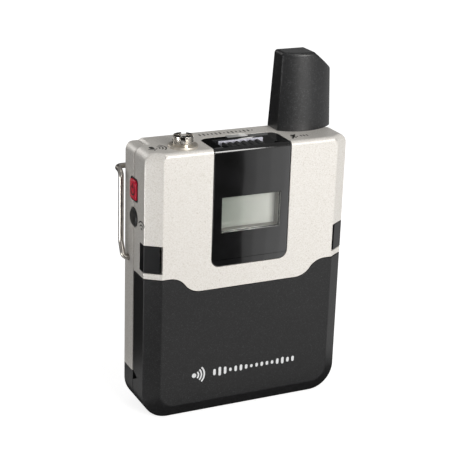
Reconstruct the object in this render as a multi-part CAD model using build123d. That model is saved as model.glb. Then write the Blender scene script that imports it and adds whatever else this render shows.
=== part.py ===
from build123d import *
import os
from math import atan, atan2, degrees, radians, sin, tan

# Wireless bodypack transmitter: a two-part housing with a display panel, a jack and an antenna on
# top, and a black pack with two round cells that closes the lower front. Millimetres. X is across,
# Y runs from the front (minus) to the back, Z is up, and Z = 0 is the flat bottom.

os.makedirs("parts", exist_ok=True)

# ---- driving sizes -------------------------------------------------------------------------------
BODY_W = 71.5            # width over the sides
BODY_H = 92.3            # height of the housing without the antenna
WALL = 1.5               # shell walls
CELL_D = 14.5            # AA-size cell
CELL_L = 50.5
CELL_GAP = 0.15          # round each cell
TRAY_WALL = 0.8          # thin back of the cell tray
BAY_GAP = 2.4            # between the tray and the back of the bay
BODY_D = 2 * WALL + CELL_D + 2 * CELL_GAP + TRAY_WALL + BAY_GAP

CORNER_R = 9.0           # bottom corners, seen from the front
TOP_R = 3.5              # top corners
FLAT_R = 5.0             # bottom corners of the flat front
BACK_R = 1.4             # round at the back edges
EDGE_R = 1.5             # round at the front top edge
MIN_R = 0.3              # smallest round inside the walls
BEVEL_RUN = 5.0          # how far the bevel comes in from the sides and the bottom
BEVEL_DEPTH = 3.45       # how far back the bevel reaches
PARTING = 8.8            # depth of the rear shell, from the back
SHOULDER = 0.9           # rear shell lies this much lower than the front shell's top
SEAM_DIP = 5.5           # the pack's upper edge is this much lower in the middle
DIP_WIDE = 28.0          # half width where the dip starts
DIP_NARROW = 17.2        # half width of its level floor
PACK_ROOM = 8.95         # space above the cells for the pack's board and contacts
DIVIDER_DROP = 2.8       # bay divider below the lowest part of the joint
BASE_H = 14.3            # black base cap behind the pack
BAND_IN = 5.55           # raised middle of the top ends this far from the sides
GROOVE = 0.25            # shadow groove along the shell joints
PACK_GAP = 0.3           # between the pack and the housing
FIT_GAP = 0.2            # between a fixed insert and its opening
MOVE_GAP = 0.3           # between a moving button and its opening

PANEL_HALF = 13.5        # display panel
PANEL_LIFT = 2.1         # its lower edge above the pack's upper edge
PANEL_R = 2.8
PANEL_T = 1.4
PANEL_OVER = 0.3         # how far it reaches back past the joint of the shells
WINDOW_W = 20.7
WINDOW_H = 11.6
WINDOW_Z = 70.0          # middle of the window
LCD_DROP = 2.6           # glass behind the window
LCD_T = 1.4

MUTE_W = 20.0            # recess in the top of the panel
MUTE_FRONT = 1.2         # rim left at the front
MUTE_LEN = 8.4           # recess from front to back
MUTE_DEEP = 3.2
GRIP_W = 12.8
GRIP_LEN = 6.4
GRIP_H = 2.65
GRIP_X = -1.1            # middle of the grip at rest
GRIP_TRAVEL = 2.2
SCALLOPS = 5
SCALLOP_PITCH = 2.4

JACK_IN = 14.25          # axis from the left side
JACK_BEHIND = 6.7        # axis from the front face
BARREL_R = 3.25
SHANK_R = 3.0
BARREL_H = 3.7
KEY_W = 1.5              # slots across the barrel's end
KEY_DEEP = 1.3
KEY_TURN = 26.0          # degrees, towards the left
JACK_BORE_R = 1.78
RING_R = 4.85
RING_H = 0.7

ANT_IN = 10.75           # middle of the antenna from the right side
ANT_HALF = 10.2
ANT_H = 25.95
ANT_TAPER = 2.3          # degrees
ANT_EDGE = 1.1
ANT_BACK_IN = 0.2        # in front of the back face
ANT_LEFT_D = 8.0         # depth at the left, and less at the right
ANT_RIGHT_D = 6.6
ANT_BOW = 4.0            # how far the front of the antenna bows out
ANT_WALL = 1.4
CUT_W = 9.0              # slanting cut at its top right
CUT_H = 8.5

POWER_Z = 77.9           # buttons on the left side, on the parting plane
POWER_W = 5.4
POWER_H = 6.6
PAIR_Z = 68.6
PAIR_R = 3.0
PROUD = 0.5
PRESS = 0.6              # travel of the two buttons
BEZEL = 0.55             # dark frame round the power button

CATCH_LIFT = 2.1         # lower edge above the pack's upper edge
CATCH_H = 9.05
CATCH_IN = 4.35          # reaches over the bevel to this distance from the side
CATCH_BACK = 3.5         # rear edge, in front of the middle plane
CATCH_T = 2.4
CATCH_TRAVEL = 0.6
LEG_IN = 4.75            # inner face of the catch's leg, from the side
LUG_IN = 1.7             # lug of the pack stands this far into the pack
LUG_LEN = 2.2

WIRE_D = 1.8             # belt clip wire
CLIP_Z = 53.2            # holes in the rear shell's sides
CLIP_Y = 4.0             # in front of the back face
CLIP_OUT = 1.65          # arm axis outside the side face
ARM_IN = 1.7             # arm axis in front of the back face
CLIP_TOP = 82.2
BAR_OUT = 3.2            # top bar axis behind the back face
TONGUE_HALF = 11.0
TONGUE_CUT = 14.0        # where the tongue's wire starts
TONGUE_NEAR = 1.5        # axis behind the back face at its closest
TONGUE_Z = 34.0
TONGUE_TIP_Z = 23.0
TONGUE_FLARE = 5.9
BEND_R = 2.3

BOARD_T = 1.2
SHIELD_W = 28.0          # metal can on the back of the board
SHIELD_H = 24.0
SHEET_T = 0.3
CONTACT_PITCH = 5.0      # pins and pads between the pack and the housing
PIN_R = 0.9
PAD_W = 2.4
PAD_L = 4.4
PAD_T = 0.5
CHARGE_PITCH = 6.0       # charging pads in the bottom
CHARGE_W = 3.2
CHARGE_L = 2.2
CHARGE_T = 0.8
CHARGE_IN = 0.2          # how far they lie above the bottom face
RIB_OUT = 3.5            # rib between the cells
RIB_T = 0.5
END_ROOM = 2.4           # from the cells to the tray's end walls
END_WALL = 1.0
NUB_R = 2.6              # button end of a cell
NUB_L = 1.2
BOSS_R = 2.2
SCREW_R = 0.9
HEAD_R = 1.7

# ---- places worked out from them -----------------------------------------------------------------
HALF_W = BODY_W / 2
FRONT_Y = -BODY_D / 2
BACK_Y = BODY_D / 2
PART_Y = BACK_Y - PARTING
FAR = 3 * max(BODY_W, BODY_H)
BAND_HALF = HALF_W - BAND_IN
JACK_X = -(HALF_W - JACK_IN)
JACK_Y = FRONT_Y + JACK_BEHIND
ANT_X = HALF_W - ANT_IN
TRAY_HALF = HALF_W - WALL - PACK_GAP - 0.25
TRAY_BACK = FRONT_Y + WALL + CELL_D + 2 * CELL_GAP + TRAY_WALL
TRAY_FLOOR = WALL + PACK_GAP + 0.1
CELL_Y = FRONT_Y + WALL + CELL_GAP + CELL_D / 2
CELL_LOW_Z = TRAY_FLOOR + TRAY_WALL + CELL_GAP + CELL_D / 2
CELL_HIGH_Z = CELL_LOW_Z + CELL_D + 4 * CELL_GAP
TRAY_TOP = CELL_HIGH_Z + CELL_D / 2 + PACK_ROOM
DIVIDER_Z = TRAY_TOP + PACK_GAP + 0.5
DIP_Z = DIVIDER_Z + DIVIDER_DROP
SEAM_Z = DIP_Z + SEAM_DIP
PANEL_Z = SEAM_Z + PANEL_LIFT
CATCH_Z = SEAM_Z + CATCH_LIFT
PANEL_FLOOR = BODY_H - MUTE_DEEP
PANEL_END = PART_Y + PANEL_OVER
MUTE_Y0 = FRONT_Y + MUTE_FRONT
MUTE_Y1 = MUTE_Y0 + MUTE_LEN
LEG_FRONT = -CATCH_BACK - 3.6
LEG_LOW = SEAM_Z - 4.6
BOARD_Y = PART_Y - 1.8
LCD_Y = FRONT_Y + PANEL_T + LCD_DROP
SCREW_SPOTS = [
    (side * (HALF_W - 5.75), BODY_H - 5.3) for side in (-1, 1)
] + [
    (side * (HALF_W - 10.75), PANEL_Z + 4.4) for side in (-1, 1)
]


# ---- small helpers -------------------------------------------------------------------------------
def block(x0, x1, y0, y1, z0, z1):
    """Box between two corners."""
    middle = Pos((x0 + x1) / 2, (y0 + y1) / 2, (z0 + z1) / 2)
    return middle * Box(x1 - x0, y1 - y0, z1 - z0)


def rod(start, direction, radius, length):
    """Round bar from a point along a direction."""
    return extrude(Plane(origin=start, z_dir=direction) * Circle(radius), length)


def through_y(shape, y0, y1):
    """Front-view outline (X across, Z up) made solid from y0 to y1."""
    plane = Plane(origin=(0, y0, 0), x_dir=(1, 0, 0), z_dir=(0, -1, 0))
    return extrude(plane * shape, y1 - y0, dir=(0, 1, 0))


def through_x(shape, x0, x1):
    """Side-view outline (Y across, Z up) made solid from x0 to x1."""
    plane = Plane(origin=(x0, 0, 0), x_dir=(0, 1, 0), z_dir=(1, 0, 0))
    return extrude(plane * shape, x1 - x0)


def front_outline(half, z0, z1, low_r, top_r):
    """Rectangle in front view with its own radii below and above."""
    shape = Pos(0, (z0 + z1) / 2) * Rectangle(2 * half, z1 - z0)
    shape = fillet(shape.vertices().sort_by(Axis.Y)[:2], low_r)
    return fillet(shape.vertices().sort_by(Axis.Y)[-2:], top_r)


def both_sides(shape):
    """A shape and its mirror image across the middle."""
    return shape + mirror(shape, about=Plane.YZ)


def half_space_y(y0, y1):
    """Everything between two depths."""
    return block(-FAR, FAR, y0, y1, -FAR, FAR)


def half_space_z(z0, z1):
    """Everything between two heights."""
    return block(-FAR, FAR, -FAR, FAR, z0, z1)


def save(shape, name):
    """Write one node, with its solids only."""
    solids = shape.solids()
    whole = solids[0] if len(solids) == 1 else Compound(children=list(solids))
    whole.label = name
    export_step(whole, f"parts/{name}.step")


# ---- the common outer form -----------------------------------------------------------------------
def body_form(inset=0.0):
    """Whole outer form, or the same form moved inwards by a wall."""
    lean = atan2(BEVEL_DEPTH, BEVEL_RUN)
    flat_in = inset * tan(lean / 2)
    bevel_back = FRONT_Y + BEVEL_DEPTH + inset * tan((radians(90) - lean) / 2)
    half = HALF_W - inset
    top = BODY_H - inset
    full = front_outline(half, inset, top, CORNER_R - inset, TOP_R - inset / 2)
    flat_half = HALF_W - BEVEL_RUN - flat_in
    flat_low = BEVEL_RUN + flat_in
    flat = front_outline(flat_half, flat_low, top, FLAT_R - flat_in, TOP_R - inset / 2)
    rear = through_y(full, bevel_back, BACK_Y - inset)
    rear = fillet(rear.faces().sort_by(Axis.Y)[-1].edges(), max(BACK_R - inset, MIN_R))
    at_front = Plane(origin=(0, FRONT_Y + inset, 0), x_dir=(1, 0, 0), z_dir=(0, -1, 0))
    at_bevel = Plane(origin=(0, bevel_back, 0), x_dir=(1, 0, 0), z_dir=(0, -1, 0))
    bevel = loft([(at_front * flat).face(), (at_bevel * full).face()], ruled=True)
    return rear + bevel - edge_cut(inset)


def edge_cut(inset):
    """What the rounded front top edge takes away, right across the body."""
    radius = max(EDGE_R - inset, MIN_R)
    y = FRONT_Y + inset + radius
    z = BODY_H - inset - radius
    corner = Pos(y - radius, z + radius) * Rectangle(2 * radius, 2 * radius)
    return through_x(corner - Pos(y, z) * Circle(radius), -FAR, FAR)


def seam_region(shift=0.0):
    """Everything above the curved joint between the front shell and the pack."""
    run = DIP_WIDE - DIP_NARROW
    turn = degrees(2 * atan(SEAM_DIP / run))
    radius = run / 2 / sin(radians(turn))
    z_high = SEAM_Z + shift
    z_low = DIP_Z + shift
    level = Line((FAR, z_high), (DIP_WIDE, z_high))
    upper = JernArc((DIP_WIDE, z_high), (-1, 0), radius, turn)
    lower = JernArc(upper @ 1, upper % 1, radius, -turn)
    rest = Polyline(lower @ 1, (0, z_low), (0, FAR), (FAR, FAR), (FAR, z_high))
    half = make_face([level, upper, lower, rest])
    return through_y(half + mirror(half, about=Plane.YZ), -FAR, FAR)


OUTER = body_form()
INNER = body_form(WALL)
ABOVE_SEAM = seam_region()


def band_region(grow=0.0):
    """Raised middle of the top, with sloping shoulders, behind the parting plane."""
    half = BAND_HALF + grow
    low = BODY_H - WALL - grow
    slope = SHOULDER + grow
    shape = Polygon(
        (-half, FAR), (half, FAR), (half, BODY_H), (half + slope, BODY_H - slope),
        (half + slope, low), (-half - slope, low), (-half - slope, BODY_H - slope),
        (-half, BODY_H), align=None)
    return through_y(shape, PART_Y - GROOVE, FAR)


def shadow_groove(y0, y1):
    """Thin frame taken off the outside along a joint between two depths."""
    return (OUTER - body_form(GROOVE + 0.1)) & half_space_y(y0, y1)


# ---- openings shared by the shell and what sits in it ----------------------------------------------
def panel_solid(grow=0.0, depth=PANEL_T):
    """Display panel: front plate and its return over the top, following the outer form."""
    outline = Pos(0, (PANEL_Z + FAR) / 2) * Rectangle(2 * (PANEL_HALF + grow), FAR - PANEL_Z + 2 * grow)
    outline = fillet(outline.vertices().sort_by(Axis.Y)[:2], PANEL_R + grow)
    front = through_y(outline, -FAR, PANEL_END + grow)
    top_view = Pos(0, (PANEL_END - FAR) / 2) * Rectangle(2 * (PANEL_HALF + grow), PANEL_END + FAR + 2 * grow)
    top_view = fillet(top_view.vertices().sort_by(Axis.Y)[-2:], PANEL_R + grow)
    column = extrude(Plane.XY * top_view, FAR)
    return (OUTER - body_form(depth)) & front & column


def mute_recess(grow=0.0):
    """Recess for the mute slide, with a sloping right-hand end."""
    z0 = PANEL_FLOOR - grow
    half = MUTE_W / 2 + grow
    slope = MUTE_DEEP * 0.7
    shape = Polygon(
        (-half, z0), (half - slope, z0), (half, BODY_H + 1), (-half, BODY_H + 1), align=None)
    return through_y(shape, MUTE_Y0 - grow, MUTE_Y1 + grow)


def power_outline(grow):
    """Rounded rectangle on the side plane, Y across and Z up."""
    shape = RectangleRounded(POWER_W + 2 * grow, POWER_H + 2 * grow, 1.0 + grow / 2)
    return Pos(PART_Y, POWER_Z) * shape


def pair_outline(grow):
    """Round outline on the side plane."""
    return Pos(PART_Y, PAIR_Z) * Circle(PAIR_R + grow)


def button_openings():
    """Two openings in the left side, halved by the parting plane."""
    x0 = -HALF_W - 1
    x1 = -HALF_W + WALL + 0.5
    power = through_x(power_outline(BEZEL + FIT_GAP / 2), x0, x1)
    return power + through_x(pair_outline(MOVE_GAP), x0, x1)


def catch_region(side, gap, travel=0.0):
    """Box round one catch; the side is -1 for left. The front edge leaves room for the travel."""
    x_in = HALF_W - CATCH_IN - gap - travel
    z0 = CATCH_Z - gap
    z1 = CATCH_Z + CATCH_H + gap
    region = block(x_in, FAR, -FAR, -CATCH_BACK + gap, z0, z1)
    return region if side > 0 else mirror(region, about=Plane.YZ)


def screw_holes(radius, y0, y1):
    """Bores for the four housing screws."""
    holes = [rod((x, y0, z), (0, 1, 0), radius, y1 - y0) for x, z in SCREW_SPOTS]
    return Compound(children=[hole.solid() for hole in holes])


def bosses(y0, y1):
    """Screw bosses between two depths."""
    return [rod((x, y0, z), (0, 1, 0), BOSS_R, y1 - y0) for x, z in SCREW_SPOTS]


# ---- housing -------------------------------------------------------------------------------------
def front_shell():
    """Upper front half, with the raised top that runs to the back."""
    wall = (OUTER - INNER) & ABOVE_SEAM
    shell = wall & half_space_y(-FAR, PART_Y)
    shell -= shadow_groove(PART_Y - GROOVE, PART_Y)
    band = (OUTER - body_form(WALL)) & band_region() & half_space_z(BODY_H - WALL, FAR)
    shell += band
    for boss in bosses(FRONT_Y + WALL / 2, PART_Y):
        shell += boss & INNER
    shell -= screw_holes(SCREW_R * 0.8, FRONT_Y + 2 * WALL, PART_Y + 1)
    shell -= panel_solid(FIT_GAP, WALL + 0.2)
    shell -= block(-PANEL_HALF, PANEL_HALF, FRONT_Y, MUTE_Y1 + WALL, PANEL_FLOOR - WALL, FAR)
    for side in (-1, 1):
        shell -= catch_region(side, FIT_GAP, CATCH_TRAVEL)
    shell -= button_openings()
    shell -= rod((JACK_X, JACK_Y, BODY_H - 3 * WALL), (0, 0, 1), SHANK_R + FIT_GAP, FAR)
    shell -= antenna_root(FIT_GAP)
    shell -= status_notch(FIT_GAP / 2)
    return shell


def rear_shell():
    """Silver back tub of the housing, a little lower at the top than the front shell."""
    lowered = front_outline(HALF_W, -FAR, BODY_H - SHOULDER, 1.0, TOP_R - 1)
    keep = through_y(lowered, PART_Y, FAR) & half_space_z(BASE_H, FAR)
    shell = (OUTER - INNER) & keep
    roof = block(-HALF_W + WALL, HALF_W - WALL, PART_Y, BACK_Y - WALL,
                 BODY_H - WALL - GROOVE - 1.2, BODY_H - WALL)
    shell += roof & OUTER
    shell -= band_region(GROOVE / 2)
    for boss in bosses(PART_Y, BACK_Y - WALL / 2):
        shell += boss
    shell -= screw_holes(SCREW_R + 0.15, PART_Y - 1, BACK_Y + 1)
    shell -= screw_holes(HEAD_R + 0.15, BACK_Y - 1.2, BACK_Y + 1)
    shell -= button_openings()
    shell -= clip_holes(0.35)
    shell -= antenna_root(FIT_GAP)
    shell -= status_notch(FIT_GAP)
    shell -= light_stem(FIT_GAP)
    return shell


def clip_holes(grow):
    """Round sockets through both sides for the feet of the belt clip."""
    y = BACK_Y - CLIP_Y
    return both_sides(rod((HALF_W - WALL - 0.5, y, CLIP_Z), (1, 0, 0), WIRE_D / 2 + grow, WALL + 2))


def base_cap():
    """Black cap that closes the bottom behind the pack."""
    keep = half_space_y(PART_Y, FAR) & half_space_z(-FAR, BASE_H)
    cap = (OUTER - INNER) & keep
    lip = (INNER - body_form(WALL + 0.6)) & half_space_y(TRAY_BACK + PACK_GAP, FAR)
    cap += lip & half_space_z(BASE_H - 3, BASE_H + 2)
    cap -= charge_pads(0.05)
    return cap


def charge_pads(grow):
    """Three charging pads let into the flat bottom."""
    y = (PART_Y + BACK_Y) / 2 + 0.4
    half = CHARGE_W / 2 + grow
    deep = CHARGE_L / 2 + grow
    low = -1 if grow else CHARGE_IN
    pads = [
        block(x - half, x + half, y - deep, y + deep, low, CHARGE_IN + CHARGE_T + grow)
        for x in (-CHARGE_PITCH, 0, CHARGE_PITCH)
    ]
    return Compound(children=[pad.solid() for pad in pads])


def bay_divider():
    """Floor and low walls that close the electronics off from the pack bay."""
    clear = WALL + PACK_GAP
    keep = half_space_z(DIVIDER_Z, SEAM_Z + 5) & half_space_y(-FAR, PART_Y)
    skin = (body_form(clear) - body_form(clear + 0.8)) & keep
    floor = body_form(clear) & half_space_z(DIVIDER_Z, DIVIDER_Z + 1.0)
    divider = skin + floor
    for side in (-1, 1):
        divider -= catch_region(side, FIT_GAP, 3.5)
        slot = block(HALF_W - LEG_IN - CATCH_TRAVEL - MOVE_GAP, FAR, LEG_FRONT - MOVE_GAP,
                     -CATCH_BACK + 2.0, LEG_LOW - 0.4, FAR)
        divider -= slot if side > 0 else mirror(slot, about=Plane.YZ)
    divider -= block(-PANEL_HALF, PANEL_HALF, -FAR, FRONT_Y + WALL + 3, PANEL_Z - 1, FAR)
    for x, z in SCREW_SPOTS:
        divider -= rod((x, -FAR, z), (0, 1, 0), BOSS_R + FIT_GAP, 2 * FAR)
    for x in contact_spots():
        divider -= rod((x, CELL_Y, DIVIDER_Z - 1), (0, 0, 1), PIN_R, 3)
    return divider


def contact_spots():
    """X places of the three pack contacts."""
    return (-CONTACT_PITCH, 0.0, CONTACT_PITCH)


def bay_contacts():
    """Sprung pins that reach down to the pads of the pack."""
    pins = []
    for x in contact_spots():
        pin = rod((x, CELL_Y, DIVIDER_Z), (0, 0, 1), PIN_R, 3.0)
        pin += rod((x, CELL_Y, DIVIDER_Z - 0.3), (0, 0, 1), PIN_R - 0.4, 0.6)
        pins.append(pin.solid())
    return Compound(children=pins)


# ---- display -------------------------------------------------------------------------------------
def display_panel():
    """Gloss black panel with the window opening and the recess for the mute slide."""
    panel = panel_solid()
    cup = block(-PANEL_HALF + 0.6, PANEL_HALF - 0.6, FRONT_Y + 0.5, MUTE_Y1 + 1.0,
                PANEL_FLOOR - 0.8, BODY_H - 0.5)
    panel += cup & OUTER
    panel -= mute_recess()
    panel -= window_block(0.0, -FAR, LCD_Y)
    panel -= rod((MUTE_W / 2 - 1.2, MUTE_Y1 - 0.9, PANEL_FLOOR - 0.4), (0, 0, 1), 0.7, 1)
    panel -= block(-0.9, 0.9 + GRIP_TRAVEL, MUTE_Y0 + 2.2, MUTE_Y0 + 4.4, PANEL_FLOOR - 2, PANEL_FLOOR + 1)
    panel -= status_notch(FIT_GAP / 2)
    return panel


def window_block(grow, y0, y1):
    """Block of the window's size between two depths."""
    return block(-WINDOW_W / 2 - grow, WINDOW_W / 2 + grow, y0, y1,
                 WINDOW_Z - WINDOW_H / 2 - grow, WINDOW_Z + WINDOW_H / 2 + grow)


def panel_window():
    """Clear window, flush with the panel."""
    return window_block(0.0, FRONT_Y, FRONT_Y + PANEL_T)


def lcd_frame():
    """Moulded frame that holds the display glass behind the window."""
    y0 = FRONT_Y + PANEL_T
    y1 = LCD_Y + LCD_T + 0.8
    frame = window_block(1.6, y0, y1) - window_block(0.0, y0 - 1, LCD_Y)
    frame -= window_block(0.8, LCD_Y, LCD_Y + LCD_T)
    frame -= window_block(-2.0, LCD_Y, y1 + 1)
    feet = [
        block(x - 0.9, x + 0.9, y1, BOARD_Y, z - 0.9, z + 0.9)
        for x in (-WINDOW_W / 2, WINDOW_W / 2)
        for z in (WINDOW_Z - WINDOW_H / 2, WINDOW_Z + WINDOW_H / 2)
    ]
    for foot in feet:
        frame += foot
    return frame


def lcd_glass():
    """Display glass."""
    return window_block(0.8, LCD_Y, LCD_Y + LCD_T)


def status_notch(grow):
    """Small light pipe at the rear edge of the panel."""
    y0 = PANEL_END - 1.6
    y1 = PANEL_END + 1.4
    low = BODY_H - WALL - 0.4
    return block(-3.8 - grow, 3.4 + grow, y0 - grow, y1 + grow, low, BODY_H + grow * 3 - 0.1)


def status_light():
    """Clear light pipe that carries the status light to the top."""
    pipe = status_notch(0.0) & OUTER
    return pipe + light_stem(0.0)


def light_stem(grow):
    """Stem of the light pipe, down to the board."""
    y0 = PANEL_END - 1.4
    return block(-2.4 - grow, 2.0 + grow, y0 - grow, y0 + 2.0 + grow, BODY_H - WALL - 3.5, BODY_H - WALL)


# ---- controls ------------------------------------------------------------------------------------
def mute_slider():
    """Scalloped thumb slide in the recess of the panel."""
    x0 = GRIP_X - GRIP_W / 2
    y0 = MUTE_Y0 + (MUTE_LEN - GRIP_LEN) / 2 - 0.7
    z0 = PANEL_FLOOR + 0.1
    grip = block(x0, x0 + GRIP_W, y0, y0 + GRIP_LEN, z0, z0 + GRIP_H)
    for index in range(SCALLOPS):
        x = GRIP_X + (index - (SCALLOPS - 1) / 2) * SCALLOP_PITCH
        grip -= rod((x, y0 - 1, z0 + GRIP_H + 0.35), (0, 1, 0), 0.95, GRIP_LEN + 2)
    grip += block(-0.6, 0.6, MUTE_Y0 + 2.5, MUTE_Y0 + 4.1, PANEL_FLOOR - 2.2, z0 + 0.3)
    return grip


def mute_stripe():
    """Pale marking bar along the rear edge of the recess."""
    return block(-MUTE_W / 2 + 1.9, MUTE_W / 2 - 2.3, MUTE_Y1 - 0.7, MUTE_Y1, PANEL_FLOOR, BODY_H - 0.45)


def mute_switch():
    """Slide switch under the recess."""
    z1 = PANEL_FLOOR - 2.4
    return block(-4.5, 4.5 + GRIP_TRAVEL, MUTE_Y0 + 1.2, BOARD_Y, z1 - 3.0, z1)


def power_button():
    """Red cap with its flange, raised rounded face and stem."""
    x_face = -HALF_W - PROUD
    cap = through_x(power_outline(-0.05), x_face, -HALF_W + WALL + 0.3)
    cap = fillet(cap.faces().sort_by(Axis.X)[0].edges(), 0.4)
    cap += through_x(power_outline(0.45), -HALF_W + WALL + 0.15, -HALF_W + WALL + 0.95)
    cap += rod((-HALF_W + WALL, PART_Y, POWER_Z), (1, 0, 0), 1.2, 2.0)
    return cap


def button_bezel():
    """Dark frame that lines the opening of the power button."""
    ring = through_x(power_outline(BEZEL), -HALF_W, -HALF_W + WALL)
    return ring - through_x(power_outline(0.1), -HALF_W - 1, -HALF_W + WALL + 1)


def pair_button():
    """Black domed button with its flange and stem."""
    cap = through_x(pair_outline(0.0), -HALF_W - PROUD, -HALF_W + WALL + 0.3)
    cap = fillet(cap.faces().sort_by(Axis.X)[0].edges(), 0.8)
    cap += through_x(pair_outline(0.6), -HALF_W + WALL + 0.1, -HALF_W + WALL + 0.9)
    cap += rod((-HALF_W + WALL, PART_Y, PAIR_Z), (1, 0, 0), 1.2, 2.0)
    return cap


def side_switch(z):
    """Tact switch beside the board, its plunger just behind a button stem."""
    x0 = -HALF_W + WALL + 2.0 + PRESS + 0.15
    body = block(x0 + 0.9, x0 + 4.4, PART_Y - 1.8, PART_Y + 1.8, z - 2.2, z + 2.2)
    return body + rod((x0, PART_Y, z), (1, 0, 0), 0.9, 1.2)


def catch(side):
    """Release catch, pressed inwards, with a leg that reaches down behind the pack's lug."""
    skin = OUTER - body_form(CATCH_T)
    body = skin & catch_region(side, 0.0)
    x_in = HALF_W - LEG_IN
    web = block(x_in, HALF_W - CATCH_T + 0.4, -CATCH_BACK - 2.6, -CATCH_BACK - 0.4,
                CATCH_Z + 0.9, CATCH_Z + CATCH_H - 1)
    leg = block(x_in, x_in + 0.9, LEG_FRONT, -CATCH_BACK - 0.4, LEG_LOW, CATCH_Z + CATCH_H - 1)
    tooth = block(x_in, HALF_W - WALL - LUG_IN - 0.2, LEG_FRONT, -CATCH_BACK - LUG_LEN - 0.7,
                  LEG_LOW, SEAM_Z - 1.8)
    flange = block(HALF_W - CATCH_T - 0.6, HALF_W - WALL - 0.4, -CATCH_BACK - 0.6, -CATCH_BACK + 1.6,
                   CATCH_Z + 0.6, CATCH_Z + CATCH_H - 0.6)
    extra = web + leg + tooth + flange
    return body + (extra if side > 0 else mirror(extra, about=Plane.YZ))


def catch_spring(side):
    """Bent leaf spring behind a catch."""
    x1 = HALF_W - LEG_IN
    y = -CATCH_BACK - 2.0
    z0 = CATCH_Z + 1.2
    z1 = CATCH_Z + CATCH_H - 1.2
    outer = ThreePointArc((x1, z0), (x1 - 1.6, (z0 + z1) / 2), (x1, z1))
    inner = ThreePointArc((x1 - 0.3, z1), (x1 - 1.9, (z0 + z1) / 2), (x1 - 0.3, z0))
    leaf = make_face([outer, Line((x1, z1), (x1 - 0.3, z1)), inner, Line((x1 - 0.3, z0), (x1, z0))])
    spring = through_y(leaf, y - 1.0, y + 1.0)
    return spring if side > 0 else mirror(spring, about=Plane.YZ)


# ---- jack and antenna ------------------------------------------------------------------------------
def jack_barrel():
    """Threaded barrel of the jack on its shank, with two key slots across its end."""
    z0 = BODY_H - WALL - 1.0
    z1 = BODY_H + BARREL_H
    barrel = rod((JACK_X, JACK_Y, z0), (0, 0, 1), SHANK_R, z1 - z0)
    barrel += rod((JACK_X, JACK_Y, BODY_H + RING_H), (0, 0, 1), BARREL_R, BARREL_H - RING_H)
    slot = Box(3 * BARREL_R, KEY_W, 2 * KEY_DEEP)
    barrel -= Pos(JACK_X, JACK_Y, z1) * Rot(0, 0, -KEY_TURN) * (slot + Rot(0, 0, 90) * slot)
    return barrel - rod((JACK_X, JACK_Y, z0 - 1), (0, 0, 1), JACK_BORE_R, FAR)


def jack_nut():
    """Dished ring nut on the top face."""
    nut = rod((JACK_X, JACK_Y, BODY_H), (0, 0, 1), RING_R, RING_H)
    nut = fillet(nut.faces().sort_by(Axis.Z)[-1].edges(), 0.3)
    return nut - rod((JACK_X, JACK_Y, BODY_H - 1), (0, 0, 1), SHANK_R + 0.02, FAR)


def jack_body():
    """Black jack housing under the barrel, soldered to the board."""
    z1 = BODY_H - WALL - 1.0
    body = block(JACK_X - 3.8, JACK_X + 3.8, JACK_Y - 3.4, BOARD_Y, z1 - 11.5, z1)
    return body - rod((JACK_X, JACK_Y, z1 - 10.5), (0, 0, 1), JACK_BORE_R, FAR)


def antenna_outline(shrink=0.0):
    """Plan of the antenna: flat sides and back, bowed front."""
    x0 = ANT_X - ANT_HALF + shrink
    x1 = ANT_X + ANT_HALF - shrink
    y_back = BACK_Y - ANT_BACK_IN - shrink
    y_left = BACK_Y - ANT_BACK_IN - ANT_LEFT_D + shrink
    y_right = BACK_Y - ANT_BACK_IN - ANT_RIGHT_D + shrink
    y_bow = (y_left + y_right) / 2 - ANT_BOW
    bow = ThreePointArc((x0, y_left), ((x0 + x1) / 2, y_bow), (x1, y_right))
    rest = Polyline((x1, y_right), (x1, y_back), (x0, y_back), (x0, y_left))
    plan = make_face([bow, rest])
    return plan


def antenna_column(shrink, z0, height):
    """Tapered column on the antenna's plan, cut off slantwise at the right."""
    column = extrude(Pos(0, 0, z0) * antenna_outline(shrink), height, taper=ANT_TAPER)
    z1 = z0 + height
    x1 = ANT_X + ANT_HALF - shrink
    wedge = Polygon((x1 - CUT_W, z1 + 0.2), (x1 + 2, z1 - CUT_H), (x1 + 2, z1 + 2), (x1 - CUT_W, z1 + 2),
                    align=None)
    return column - through_y(wedge, -FAR, FAR)


def antenna_cap():
    """Hollow antenna cover."""
    cap = antenna_column(0.0, BODY_H, ANT_H)
    low = cap.faces().sort_by(Axis.Z)[0].edges()
    sharp = [edge for edge in cap.edges() if edge not in low]
    cap = fillet(sharp, ANT_EDGE)
    cap -= antenna_column(ANT_WALL, BODY_H + 1.0, ANT_H - 1.0 - ANT_WALL)
    cap += antenna_root(0.0)
    return cap - antenna_bore()


def antenna_root(grow):
    """Neck of the antenna through the top of the housing."""
    y = BACK_Y - 3.9
    return block(ANT_X - 5.0 - grow, ANT_X + 5.0 + grow, y - 1.9 - grow, y + 1.9 + grow,
                 BODY_H - WALL - 1.9, BODY_H + 0.4)


def antenna_bore():
    """Slot through the neck for the antenna's circuit board."""
    y = BACK_Y - 3.9
    return block(ANT_X - 3.4, ANT_X + 3.4, y - 0.9, y + 0.9, BODY_H - FAR, BODY_H + 2)


def antenna_board():
    """Antenna circuit blade, from the housing up into the cover."""
    y = BACK_Y - 3.9
    blade = block(ANT_X - 3.4, ANT_X + 2.0, y - 0.5, y + 0.5, BODY_H - 12, BODY_H + ANT_H - 4.5)
    wing = block(ANT_X - 7.0, ANT_X + 4.0, y - 0.5, y + 0.5, BODY_H + 1.5, BODY_H + ANT_H - 4.5)
    return blade + wing


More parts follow.
